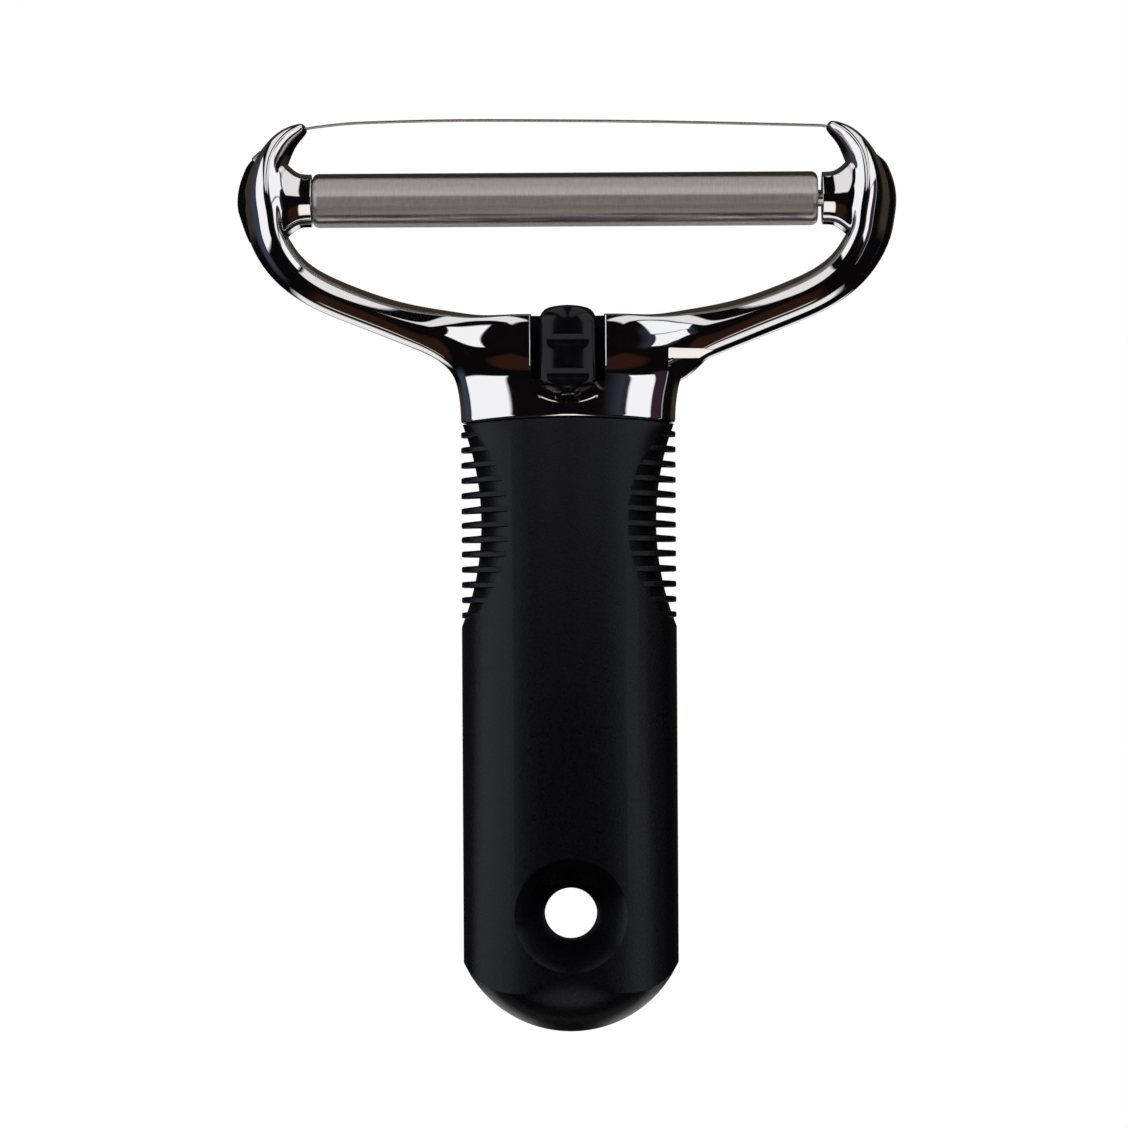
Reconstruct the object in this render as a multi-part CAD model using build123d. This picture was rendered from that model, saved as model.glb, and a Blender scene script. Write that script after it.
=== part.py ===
from build123d import *
import os
from math import asin, degrees, radians, sqrt, tan

os.makedirs("parts", exist_ok=True)

# A wire cheese slicer, in millimetres. It stands upright, as it hangs from its hole:
# +Z runs from the handle to the wire, X along the wire and roller, and its front faces -Y.
# The origin is the centre of the hang hole.

# Clearances and the overrun of every cut
bond_gap = 0.05
running_gap = 0.06
press_gap = 0.02
overrun = 6.0

# Handle
handle_width = 38.7
handle_depth = 21.0
handle_top = 88.7
handle_corner_drop = 8.8
end_dome_rise = 12.5
end_face_rise = 7.0
hang_hole_r = 4.7
hang_bore_length = 7.0
hang_dish_r = 10.2

# Finned recesses at the sides of the grip
fin_count = 13
fin_pitch = 2.74
fin_thickness = 1.2
recess_centre_z = 70.15
recess_half_length = 18.6
recess_side_depth = 3.6
recess_floor_half_depth = 12.1

# Stiff core inside the grip, and the pins that lock the tang in it
core_side_wall = 5.8
core_front_wall = 3.2
core_end_wall = 6.0
core_eye_wall = 4.0
tang_width = 15.0
tang_thickness = 7.4
tang_length = 62.0
tang_pin_r = 1.5
tang_pin_recess = 0.3
tang_pin_spacing = 26.0
tang_pin_end_distance = 12.0

# Chromed head: a neck that flows into two arms
neck_width = 38.3
neck_depth = 20.4
neck_height = 10.8
arm_reach = 58.4
arm_root_z = 99.5
arm_rise = 42.7
arm_width = 7.0
arm_depth = 11.8
# across, up, width and depth of each section, from the middle of the neck to the tip
arm_station_shares = [
    (0.0, 0.0, 2.22, 1.70),
    (0.17, 0.015, 2.08, 1.55),
    (0.295, 0.038, 1.88, 1.28),
    (0.385, 0.105, 1.33, 1.10),
    (0.482, 0.150, 1.06, 1.0),
    (0.598, 0.203, 0.94, 0.93),
    (0.722, 0.270, 0.93, 0.90),
    (0.810, 0.335, 0.93, 0.90),
    (0.882, 0.427, 0.96, 0.93),
    (0.925, 0.536, 1.0, 1.0),
    (0.941, 0.677, 1.0, 1.02),
    (0.924, 0.787, 0.91, 0.92),
    (0.903, 0.857, 0.81, 0.78),
    (0.859, 0.938, 0.56, 0.58),
    (0.806, 0.984, 0.30, 0.36),
]
# where along that table the boss, the wire groove, its rail and the left pocket are
station_share_rows = {"boss": [10], "groove": [4, 13], "rail": [3, 12], "pocket": [9, 12]}
neck_flare_shares = [(0.0, 1.0, 1.0), (0.32, 1.006, 0.995), (0.68, 1.03, 0.97), (1.0, 1.05, 0.92)]

# Rail behind the wire groove, on the outer edge of the arms
rail_stand = 1.0
rail_depth = 3.8
rail_root = 2.2
rail_centre_y = 2.5

# Wire and its groove
wire_r = 0.25
wire_y = 0.8
groove_width = 1.1
groove_depth = 1.7
wire_in_groove = 1.05
wire_end_drop = 0.9
wire_peak_z = 142.85
bead_r = 1.1
bead_height = 2.2
bead_seat_gap = 0.3
pocket_width = 3.0
pocket_depth = 3.2

# Roller and axle
roller_z = 128.4
roller_r = 4.85
roller_float = 0.9
roller_wall = 0.8
roller_mouth_r = 2.3
roller_end_r = 1.2
roller_shift = -0.33
boss_length = 12.5
boss_face_x = arm_reach - boss_length
roller_length = 2 * boss_face_x - roller_float
boss_r = 4.75
boss_neck_length = 2.2
boss_flare = 2.6
boss_flare_angle = 60
boss_end_inset = 1.0
axle_r = 1.5
axle_seat_length = 6.0
bush_length = 8.0

# Button slot in the neck, and the button
slot_width = 13.1
slot_floor_y = 3.0
slot_bottom_z = 91.8
slot_bottom_arc_r = 10.8
button_width = 10.4
button_proud = 0.5
button_top_z = 109.1
button_dome_r = 15.0
button_front_r = 12.0
button_travel = 2.0
button_stop_room = 0.3
flange_width = 14.9
flange_back_y = 1.85
flange_thickness = 2.7
flange_low_rise = 1.9
flange_height = 9.4
scallop_r = 2.3
scallop_depth = 0.9
upper_scallop_z = 102.5
lower_scallop_z = 96.4

# Stop pin, pressed in from the back of the neck
stop_pin_r = 1.25
stop_pin_z = 102.0
stop_pin_reach = 2.2
stop_pin_recess = 0.3

# Hook inside the button
hook_x = 5.0
hook_shelf_z = 97.8
plate_thickness = 0.8
plate_width = 2.6
plate_seat = 1.2
hook_slit_width = 0.9
hook_side_room = 0.4

# Spring under the button
spring_r = 2.0
spring_wire_r = 0.3
spring_turns = 6
spring_bore_r = 2.6
spring_bore_depth = 7.6
peg_r = 1.1
peg_length = 3.0

# Notch where the groove runs into the neck
notch_left_x = 17.7
notch_right_x = 25.0
notch_low_z = 96.7
notch_high_z = 101.9
wire_hole_r = 0.9


def solid_of(shape):
    """The one solid in a result."""
    found = shape.solids()
    assert len(found) == 1, f"{len(found)} solids where one was meant"
    return found[0]


def write(name, shape):
    shape.label = name
    export_step(shape, f"parts/{name}.step")


def circle_radius(half_chord, rise):
    return (half_chord**2 + rise**2) / (2 * rise)


def block(x_from, x_to, y_from, y_to, z_from, z_to):
    size = (x_to - x_from, y_to - y_from, z_to - z_from)
    middle = ((x_from + x_to) / 2, (y_from + y_to) / 2, (z_from + z_to) / 2)
    return Pos(*middle) * Box(*size)


def rod_along_y(radius, x, z, y_from, y_to):
    place = Pos(x, (y_from + y_to) / 2, z) * Rot(90, 0, 0)
    return place * Cylinder(radius, y_to - y_from)


def rod_along_x(radius, z, x_from, x_to):
    place = Pos((x_from + x_to) / 2, 0, z) * Rot(0, 90, 0)
    return place * Cylinder(radius, x_to - x_from)


def rod_along_z(radius, x, y, z_from, z_to):
    return Pos(x, y, (z_from + z_to) / 2) * Cylinder(radius, z_to - z_from)


# Arms: every section stands square to the path of its arm


def station_point(index):
    across, up, _, _ = arm_station_shares[index]
    return Vector(across * arm_reach, 0, arm_root_z + up * arm_rise)


def station_tangent(index):
    last = len(arm_station_shares) - 1
    if index == 0:
        return Vector(1, 0, 0)
    ahead = station_point(min(index + 1, last))
    behind = station_point(max(index - 1, 0))
    return (ahead - behind).normalized()


def station_outward(index):
    """The direction away from the roller, across the arm."""
    tangent = station_tangent(index)
    return Vector(tangent.Z, 0, -tangent.X)


def station_width(index):
    return arm_station_shares[index][2] * arm_width


def station_depth(index):
    return arm_station_shares[index][3] * arm_depth


def edge_point(index, offset, y):
    """A point at an offset outwards from the arm's outer edge."""
    point = station_point(index) + station_outward(index) * (station_width(index) / 2 + offset)
    return Vector(point.X, y, point.Z)


def station_plane(index, offset, y):
    return Plane(edge_point(index, offset, y), x_dir=station_outward(index), z_dir=station_tangent(index))


def arm_section(index, side):
    """The oval section of the right arm, side 1, or of the left arm, side -1."""
    point = station_point(index)
    across = station_outward(index)
    along = station_tangent(index)
    plane = Plane(
        Vector(side * point.X, 0, point.Z),
        x_dir=Vector(side * across.X, 0, across.Z),
        z_dir=Vector(along.X, 0, side * along.Z),
    )
    return plane * Ellipse(station_width(index) / 2, station_depth(index) / 2)


def make_yoke():
    """Both arms in one sweep of sections, from the left tip to the right one."""
    count = len(arm_station_shares)
    left = [arm_section(index, -1) for index in range(count - 1, 0, -1)]
    right = [arm_section(index, 1) for index in range(count)]
    return loft(left + right)


def edge_strip(first, last, inner, outer, y, thickness):
    """A strip along the arm's outer edge, from one station to another."""
    middle = (inner + outer) / 2
    sections = []
    for index in range(first, last + 1):
        plane = station_plane(index, middle, y)
        sections.append(plane * Rectangle(outer - inner, thickness))
    return loft(sections)


def edge_rail(first, last):
    """The rounded rail behind the groove."""
    middle = (rail_stand - rail_root) / 2
    half = (rail_stand + rail_root) / 2
    sections = []
    for index in range(first, last + 1):
        plane = station_plane(index, middle, rail_centre_y)
        sections.append(plane * Ellipse(half, rail_depth / 2))
    return loft(sections)


def make_boss():
    """The trumpet that carries the axle on the inside of the right arm."""
    far = station_point(station_share_rows["boss"][0]).X - boss_end_inset
    foot = boss_face_x + boss_neck_length
    with BuildSketch(Plane.XZ) as section:
        with BuildLine():
            l1 = Line((boss_face_x, 0), (boss_face_x, boss_r))
            l2 = Line(l1 @ 1, (foot, boss_r))
            l3 = JernArc(start=l2 @ 1, tangent=l2 % 1, radius=boss_flare, arc_size=boss_flare_angle)
            l4 = Line(l3 @ 1, (far, (l3 @ 1).Y))
            l5 = Line(l4 @ 1, (far, 0))
            Line(l5 @ 1, l1 @ 0)
        make_face()
    return Pos(0, 0, roller_z) * revolve(section.sketch, Axis.X)


def make_neck():
    sections = []
    for rise, width, depth in neck_flare_shares:
        plane = Plane((0, 0, handle_top + rise * neck_height))
        sections.append(plane * Ellipse(width * neck_width / 2, depth * neck_depth / 2))
    return loft(sections)


# Slot, button and hook share these places

neck_front_y = -neck_depth / 2


def bottom_profile(half_width, low_z, high_z):
    """A slot or button outline whose bottom is a shallow arc."""
    side_rise = slot_bottom_arc_r - sqrt(slot_bottom_arc_r**2 - half_width**2)
    side_z = low_z + side_rise
    with BuildSketch(Plane.XZ) as outline:
        with BuildLine():
            ThreePointArc((-half_width, side_z), (0, low_z), (half_width, side_z))
            Polyline((half_width, side_z), (half_width, high_z), (-half_width, high_z), (-half_width, side_z))
        make_face()
    return outline.sketch


def prism(sketch, y_from, y_to):
    """A sketch on the XZ plane, drawn out between two depths."""
    moved = Pos(0, y_from, 0) * sketch
    return extrude(moved, amount=y_to - y_from, dir=(0, 1, 0))


button_bottom_z = slot_bottom_z + button_travel + button_stop_room
flange_low_z = button_bottom_z + flange_low_rise
flange_high_z = flange_low_z + flange_height
flange_front_y = flange_back_y - flange_thickness
bore_bottom_z = slot_bottom_z - spring_bore_depth
spring_y = flange_back_y - flange_thickness / 2


def make_slot():
    high = button_top_z + overrun
    slot = prism(bottom_profile(slot_width / 2, slot_bottom_z, high), neck_front_y - overrun, slot_floor_y)
    side = flange_width / 2 + running_gap * 2
    back = flange_back_y + running_gap * 2
    front = flange_front_y - running_gap * 2
    low = flange_low_z - button_travel - button_stop_room
    return slot + block(-side, side, front, back, low, high)


def make_notch():
    tip_z = (notch_low_z + notch_high_z) / 2
    with BuildSketch(Plane.XZ) as outline:
        with BuildLine():
            Polyline(
                (notch_left_x, notch_low_z),
                (notch_right_x, notch_low_z),
                (notch_right_x, tip_z + (notch_high_z - tip_z) / 2),
                (notch_left_x, notch_high_z),
                close=True,
            )
        make_face()
    return prism(outline.sketch, neck_front_y - overrun, wire_y - wire_r)


def mirrored(point):
    return Vector(-point.X, point.Y, point.Z)


def wire_points():
    """The wire's whole route, from its left bead over both tips to the bead in the button."""
    y = wire_y
    floor = -wire_in_groove
    low_row, high_row = station_share_rows["groove"]
    left = [mirrored(edge_point(high_row, floor, y))]
    shoulder = mirrored(edge_point(station_share_rows["pocket"][-1], floor, y))
    left.insert(0, shoulder + (shoulder - left[0]).normalized() * (bead_height + bead_seat_gap))
    tip = edge_point(len(arm_station_shares) - 1, -station_width(len(arm_station_shares) - 1) / 2, y)
    span = [
        Vector(-tip.X, y, tip.Z),
        Vector(-tip.X * 0.84, y, wire_peak_z - wire_end_drop / 2),
        Vector(-tip.X * 0.47, y, wire_peak_z),
        Vector(tip.X * 0.26, y, wire_peak_z - wire_end_drop / 3),
        Vector(tip.X, y, tip.Z),
    ]
    right = [edge_point(index, floor, y) for index in range(high_row, low_row - 1, -1)]
    entry = Vector(notch_left_x, y, notch_low_z + wire_r * 8)
    return left + span + right + [entry] + hook_points()


def hook_points():
    y = wire_y
    return [
        Vector(slot_width / 2, y, slot_bottom_z + button_travel + button_stop_room),
        Vector(hook_x, y, flange_low_z - button_stop_room * 2),
        Vector(hook_x, y, hook_shelf_z + bead_height / 2),
    ]


def corner_radii(points):
    radii = []
    for before, corner, after in zip(points, points[1:], points[2:]):
        run_in = corner - before
        run_out = after - corner
        turn = radians(run_in.get_angle(run_out))
        radii.append(0.45 * min(run_in.length, run_out.length) / tan(turn / 2))
    return radii


def tube(points, radius):
    radii = corner_radii(points)
    path = FilletPolyline(*points, radius=radii)
    plane = Plane(origin=path @ 0, z_dir=path % 0)
    return sweep(plane * Circle(radius), path=path), path, radii


def make_head():
    boss = make_boss()
    head = make_yoke() + boss + mirror(boss, about=Plane.YZ) + make_neck()
    rail_start, rail_end = station_share_rows["rail"]
    pocket_start, pocket_end = station_share_rows["pocket"]
    head = head + edge_rail(rail_start, rail_end)
    head = head + mirror(edge_rail(pocket_start, pocket_end), about=Plane.YZ)
    top = handle_top + neck_height / 2
    tang_low = handle_top - tang_length
    head = head + block(-tang_width / 2, tang_width / 2, -tang_thickness / 2, tang_thickness / 2, tang_low, top)

    last = len(arm_station_shares) - 1
    groove = edge_strip(rail_start, last, -groove_depth, overrun, wire_y, groove_width)
    left_groove = edge_strip(pocket_end, last, -groove_depth, overrun, wire_y, groove_width)
    head = head - groove - mirror(left_groove, about=Plane.YZ)
    pocket = edge_strip(pocket_start, pocket_end, -pocket_depth, overrun, wire_y, pocket_width)
    head = head - mirror(pocket, about=Plane.YZ)
    head = head - make_slot() - make_notch()
    hook = hook_points()
    entry = wire_points()[-4]
    hole_line = Line(entry + (entry - hook[0]).normalized() * overrun * 1.4, hook[0])
    hole_plane = Plane(origin=hole_line @ 0, z_dir=hole_line % 0)
    head = head - extrude(hole_plane * Circle(wire_hole_r), amount=hole_line.length)
    head = head - rod_along_z(spring_bore_r, 0, spring_y, bore_bottom_z, slot_bottom_z + overrun)
    head = head - rod_along_y(stop_pin_r + press_gap, 0, stop_pin_z, 0, neck_depth)
    seat = axle_r + press_gap
    head = head - rod_along_x(seat, roller_z, boss_face_x - overrun, boss_face_x + axle_seat_length)
    head = head - rod_along_x(seat, roller_z, -arm_reach - overrun, -boss_face_x + overrun)
    for z in tang_pin_heights():
        head = head - rod_along_y(tang_pin_r + press_gap, 0, z, -tang_thickness, tang_thickness)
    return solid_of(head)


def tang_pin_heights():
    lower = handle_top - tang_length + tang_pin_end_distance
    return [lower, lower + tang_pin_spacing]


# Handle


def handle_body(side_inset, front_inset, end_inset, top):
    """An oval bar with a domed lower end, set in from the outside of the grip."""
    half = handle_width / 2 - side_inset
    deep = handle_depth / 2 - front_inset
    dome_r = circle_radius(handle_width / 2, end_dome_rise)
    low = -handle_corner_drop - end_dome_rise
    bar = extrude(Plane((0, 0, low)) * Ellipse(half, deep), amount=top - low)
    face_dome_r = circle_radius(handle_depth / 2, end_face_rise)
    wide = domed_outline(low, dome_r, end_inset, end_dome_rise, handle_width)
    side = domed_outline(low, face_dome_r, end_inset, end_face_rise, handle_width)
    front_prism = extrude(Plane.XZ * wide, amount=handle_width, both=True)
    side_prism = extrude(Plane.YZ * side, amount=handle_width, both=True)
    return (bar & front_prism) & side_prism


def domed_outline(low, dome_r, inset, rise, reach):
    """An open-topped outline whose bottom is an arc."""
    high = handle_top + 2 * overrun
    upper = Pos(0, (low + rise + high) / 2) * Rectangle(2 * reach, high - low - rise)
    return upper + Pos(0, low + dome_r) * Circle(dome_r - inset)


def make_core():
    core = handle_body(core_side_wall, core_front_wall, core_end_wall, handle_top)
    gap = bond_gap
    cavity = block(
        -tang_width / 2 - gap,
        tang_width / 2 + gap,
        -tang_thickness / 2 - gap,
        tang_thickness / 2 + gap,
        handle_top - tang_length - gap,
        handle_top + overrun,
    )
    core = core - cavity
    core = core - rod_along_y(hang_hole_r + core_eye_wall, 0, 0, -handle_depth, handle_depth)
    for z in tang_pin_heights():
        core = core - rod_along_y(tang_pin_r + press_gap, 0, z, -handle_depth, handle_depth)
    return solid_of(core)


def hang_dish():
    """The dished countersink at the front of the hang hole."""
    mouth_y = handle_depth / 2
    floor_y = hang_bore_length / 2
    slope = (hang_dish_r - hang_hole_r) / (mouth_y - floor_y)
    wide = hang_dish_r + slope * overrun
    with BuildSketch(Plane.XY) as section:
        with BuildLine():
            Polyline(
                (0, floor_y),
                (hang_hole_r, floor_y),
                (hang_dish_r, mouth_y),
                (wide, mouth_y + overrun),
                (0, mouth_y + overrun),
                close=True,
            )
        make_face()
    return revolve(section.sketch, Axis.Y)


def recess_half(side):
    """The space beside the waist of the grip, as a ring about an axis parallel to Y."""
    waist = handle_width / 2 - recess_side_depth
    ring_r = circle_radius(recess_half_length, recess_side_depth)
    axis_x = waist + ring_r
    reach = handle_depth / 2 + overrun / 2
    curve = Ellipse(waist, recess_floor_half_depth)
    outside = Pos(handle_width / 2, 0, 0) * Rectangle(handle_width, 2 * handle_depth)
    window = Rectangle(2 * handle_width + overrun, 2 * reach)
    face = (outside & window) - curve
    sweep_angle = degrees(asin((recess_half_length + overrun) / ring_r))
    turned = Axis((axis_x, 0, 0), (0, 1, 0))
    start = Pos(0, 0, 0) * face.rotate(turned, -sweep_angle)
    ring = revolve(start, turned, 2 * sweep_angle)
    ring = Pos(0, 0, recess_centre_z) * ring
    return ring if side > 0 else mirror(ring, about=Plane.YZ)


def gap_slabs():
    """The air between the fins, with one gap above the first fin and one below the last."""
    gap = fin_pitch - fin_thickness
    first = recess_centre_z - fin_count * fin_pitch / 2
    wide = handle_width
    for index in range(fin_count + 1):
        middle = first + index * fin_pitch
        yield block(-wide, wide, -wide, wide, middle - gap / 2, middle + gap / 2)


def make_grip():
    grip = handle_body(0, 0, 0, handle_top)
    for side in (1, -1):
        recess = recess_half(side)
        grip = grip - [recess & slab for slab in gap_slabs()]
    inner = handle_body(
        core_side_wall - bond_gap, core_front_wall - bond_gap, core_end_wall - bond_gap, handle_top + overrun
    )
    inner = inner - rod_along_y(hang_hole_r + core_eye_wall - bond_gap, 0, 0, -handle_depth, handle_depth)
    grip = grip - inner
    grip = grip - rod_along_y(hang_hole_r, 0, 0, -handle_depth, handle_depth)
    dish = hang_dish()
    grip = grip - dish - mirror(dish, about=Plane.XZ)
    return solid_of(grip)


def make_tang_pins():
    half = handle_depth / 2 - core_front_wall - tang_pin_recess
    return Compound([solid_of(rod_along_y(tang_pin_r, 0, z, -half, half)) for z in tang_pin_heights()])


# Roller


def make_roller_tube():
    half = roller_length / 2
    inner_r = roller_r - roller_wall
    with BuildSketch(Plane.XZ) as section:
        with BuildLine():
            Polyline(
                (-half, roller_mouth_r),
                (-half, roller_r),
                (half, roller_r),
                (half, roller_mouth_r),
                (half - roller_wall, roller_mouth_r),
                (half - roller_wall, inner_r),
                (-half + roller_wall, inner_r),
                (-half + roller_wall, roller_mouth_r),
                close=True,
            )
        make_face()
    corners = section.sketch.vertices().filter_by(lambda v: abs(v.Z - roller_r) < press_gap)
    rounded = fillet(corners, roller_end_r)
    tube_body = revolve(rounded, Axis.X)
    return solid_of(Pos(roller_shift, 0, roller_z) * tube_body)


def make_bush(side):
    end = roller_length / 2 - roller_wall - press_gap
    start = end - bush_length
    outer = roller_r - roller_wall - press_gap
    body = rod_along_x(outer, roller_z, start, end)
    body = body - rod_along_x(axle_r + running_gap, roller_z, start - overrun, end + overrun)
    body = body if side > 0 else mirror(body, about=Plane.YZ)
    return solid_of(Pos(roller_shift, 0, 0) * body)


def make_axle():
    pocket_floor = edge_point(station_share_rows["boss"][0], -pocket_depth, 0).X
    return solid_of(rod_along_x(axle_r, roller_z, -pocket_floor + bond_gap, boss_face_x + axle_seat_length - bond_gap))


# Button


def make_button():
    half = button_width / 2
    front = neck_front_y - button_proud
    front_y = front + button_front_r
    body = prism(bottom_profile(half, button_bottom_z, button_top_z + overrun), front - overrun, flange_back_y)
    rounding = rod_along_z(button_front_r, 0, front_y, button_bottom_z - overrun, button_top_z + overrun)
    behind = block(-half, half, front_y, handle_depth, button_bottom_z - overrun, button_top_z + overrun)
    dome = rod_along_y(button_dome_r, 0, button_top_z - button_dome_r, front - overrun, handle_depth)
    skirt = block(-half, half, front - overrun, handle_depth, button_bottom_z - overrun, button_top_z - half)
    body = body & (rounding + behind) & (dome + skirt)
    for z in (upper_scallop_z, lower_scallop_z):
        scallop_y = front - scallop_r + scallop_depth
        body = body - rod_scallop(z, scallop_y)
    wide = flange_width / 2
    body = body + block(-wide, wide, flange_front_y, flange_back_y, flange_low_z, flange_high_z)
    body = body + rod_along_z(peg_r, 0, spring_y, button_bottom_z - peg_length, button_bottom_z + overrun / 2)
    return solid_of(body - button_cuts())


def rod_scallop(z, y):
    place = Pos(0, y, z) * Rot(0, 90, 0)
    return place * Cylinder(scallop_r, button_width + overrun)


def button_cuts():
    """Room for the stop pin, the hooked wire end and its bead, over the whole travel."""
    pin_room = stop_pin_r + running_gap
    back = flange_back_y + overrun
    pin_front = flange_back_y - stop_pin_reach
    low = stop_pin_z - running_gap
    high = stop_pin_z + button_travel + running_gap
    slit = block(-pin_room, pin_room, pin_front, back, low, high)
    slit = slit + rod_along_y(pin_room, 0, low, pin_front, back) + rod_along_y(pin_room, 0, high, pin_front, back)
    side = hook_x - bead_r - hook_side_room
    room_front = wire_y - bead_r - hook_side_room
    bead_high = hook_shelf_z + bead_height + button_travel + hook_side_room
    room = block(side, flange_width, room_front, back, button_bottom_z - overrun, bead_high)
    seat_gap = bond_gap
    seat = block(
        side - plate_seat - seat_gap,
        side + overrun,
        wire_y - plate_width / 2 - seat_gap,
        wire_y + plate_width / 2 + seat_gap,
        hook_shelf_z - plate_thickness - seat_gap,
        hook_shelf_z + seat_gap,
    )
    return slit + room + seat


def make_hook_plate():
    side = hook_x - bead_r - hook_side_room
    right = slot_width / 2 - running_gap * 2
    low = hook_shelf_z - plate_thickness
    half = plate_width / 2
    plate = block(side - plate_seat, right, wire_y - half, wire_y + half, low, hook_shelf_z)
    slit = hook_slit_width / 2
    cut = block(hook_x, right + overrun, wire_y - slit, wire_y + slit, low - overrun, hook_shelf_z + overrun)
    return solid_of(plate - cut - rod_along_z(slit, hook_x, wire_y, low - overrun, hook_shelf_z + overrun))


def make_bead(point, direction):
    plane = Plane(origin=point, z_dir=direction)
    bead = extrude(plane * Circle(bead_r), amount=bead_height)
    hole = extrude(plane.offset(-overrun) * Circle(wire_r), amount=bead_height + 2 * overrun)
    return solid_of(fillet(bead.edges(), bead_r / 4) - hole)


def make_spring():
    """A coil of arcs, each a quarter turn of the helix."""
    low = bore_bottom_z + spring_wire_r
    high = button_bottom_z - spring_wire_r - bond_gap
    quarter_count = spring_turns * 4
    rise = (high - low) / quarter_count

    def on_helix(quarters):
        angle = 90 * quarters
        offset = Vector(spring_r, 0, 0).rotate(Axis.Z, angle)
        return Vector(0, spring_y, low + rise * quarters) + offset

    arcs = []
    for quarter in range(quarter_count):
        arcs.append(ThreePointArc(on_helix(quarter), on_helix(quarter + 0.5), on_helix(quarter + 1)))
    path = Wire(arcs)
    plane = Plane(origin=path @ 0, z_dir=path % 0)
    coil = sweep(plane * Circle(spring_wire_r), path=path)
    print(f"spring: least gap between turns {rise * 4 - 2 * spring_wire_r:.2f}")
    return solid_of(coil)


def make_stop_pin():
    front = flange_back_y - stop_pin_reach + running_gap * 2
    back = neck_depth / 2 * neck_flare_shares[-1][2] - stop_pin_recess
    return solid_of(rod_along_y(stop_pin_r, 0, stop_pin_z, front, back))


def main():
    write("head_frame", make_head())
    write("grip_sleeve", make_grip())
    write("handle_core", make_core())
    write("tang_pins", make_tang_pins())
    write("roller_tube", make_roller_tube())
    write("roller_bush_left", make_bush(-1))
    write("roller_bush_right", make_bush(1))
    write("roller_axle", make_axle())
    route = wire_points()
    wire, path, radii = tube(route, wire_r)
    print("wire length", round(path.length, 1), "corner radii", [round(r, 1) for r in radii])
    write("cutting_wire", solid_of(wire))
    start = (route[1] - route[0]).normalized()
    write("wire_anchor_bead", make_bead(route[0], start))
    write("wire_end_bead", make_bead(Vector(hook_x, wire_y, hook_shelf_z), Vector(0, 0, 1)))
    write("tension_button", make_button())
    write("hook_plate", make_hook_plate())
    write("tension_spring", make_spring())
    write("button_stop_pin", make_stop_pin())


main()
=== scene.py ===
import math

import bmesh
import bpy
from mathutils import Matrix, Vector


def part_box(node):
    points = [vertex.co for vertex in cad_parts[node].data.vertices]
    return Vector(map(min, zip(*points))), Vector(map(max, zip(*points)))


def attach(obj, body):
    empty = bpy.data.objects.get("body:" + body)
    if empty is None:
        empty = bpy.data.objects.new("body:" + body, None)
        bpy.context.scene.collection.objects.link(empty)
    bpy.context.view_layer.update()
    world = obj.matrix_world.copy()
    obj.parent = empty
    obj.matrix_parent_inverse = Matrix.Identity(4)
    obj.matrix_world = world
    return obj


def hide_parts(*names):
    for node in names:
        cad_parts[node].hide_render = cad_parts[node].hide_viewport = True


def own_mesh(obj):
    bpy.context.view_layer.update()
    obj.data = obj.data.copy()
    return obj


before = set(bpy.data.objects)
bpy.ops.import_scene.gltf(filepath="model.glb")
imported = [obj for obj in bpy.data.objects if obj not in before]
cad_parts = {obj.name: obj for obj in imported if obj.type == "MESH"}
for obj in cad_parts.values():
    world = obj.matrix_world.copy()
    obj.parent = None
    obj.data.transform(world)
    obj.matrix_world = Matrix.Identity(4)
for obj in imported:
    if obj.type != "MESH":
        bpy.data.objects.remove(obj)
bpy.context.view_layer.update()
mm = 0.001
print("frame loaded")


# Camera, level with the middle of the picture

camera = {"distance": 1.1, "aim": (-0.0009, 0.0, 0.0628), "seen": 0.20304, "roll": 0.33, "sensor": 36}


def addCamera():
    data = bpy.data.cameras.new("photoCamera")
    data.sensor_width = camera["sensor"]
    data.lens = camera["sensor"] * camera["distance"] / camera["seen"]
    eye = bpy.data.objects.new("photoCamera", data)
    roll = Matrix.Rotation(math.radians(-camera["roll"]), 4, "Z")
    turn = Matrix.Rotation(math.radians(90), 4, "X") @ roll
    eye.matrix_world = Matrix.Translation(Vector(camera["aim"]) - Vector((0, camera["distance"], 0))) @ turn
    bpy.context.scene.collection.objects.link(eye)
    bpy.context.scene.camera = eye


addCamera()
bpy.context.scene.view_settings.view_transform = "Standard"


# Small helpers for node trees


def addNode(tree, kind, place=(0, 0), **settings):
    node = tree.nodes.new(kind)
    node.location = place
    for key, value in settings.items():
        setattr(node, key, value)
    return node


def put(node, values):
    for key, value in values.items():
        node.inputs[key].default_value = value
    return node


def mathStep(tree, operation, first, second=None, clamp=False):
    node = addNode(tree, "ShaderNodeMath", operation=operation, use_clamp=clamp)
    for index, value in enumerate((first, second)):
        if value is None:
            continue
        if isinstance(value, (int, float)):
            node.inputs[index].default_value = value
        else:
            tree.links.new(value, node.inputs[index])
    return node.outputs[0]


def dotStep(tree, first, second):
    node = addNode(tree, "ShaderNodeVectorMath", operation="DOT_PRODUCT")
    tree.links.new(first, node.inputs[0])
    tree.links.new(second, node.inputs[1])
    return node.outputs["Value"]


def newGroup(name, inputs, outputs):
    group = bpy.data.node_groups.new(name, "ShaderNodeTree")
    for label, kind, value in inputs:
        socket = group.interface.new_socket(label, in_out="INPUT", socket_type=kind)
        socket.default_value = value
    for label, kind in outputs:
        group.interface.new_socket(label, in_out="OUTPUT", socket_type=kind)
    return group, group.nodes.new("NodeGroupInput").outputs, group.nodes.new("NodeGroupOutput").inputs


# Studio: soft boxes that only gloss sees, over a plain level light
# each box lies between two angles from the front, and between two angles round it from straight up

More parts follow.
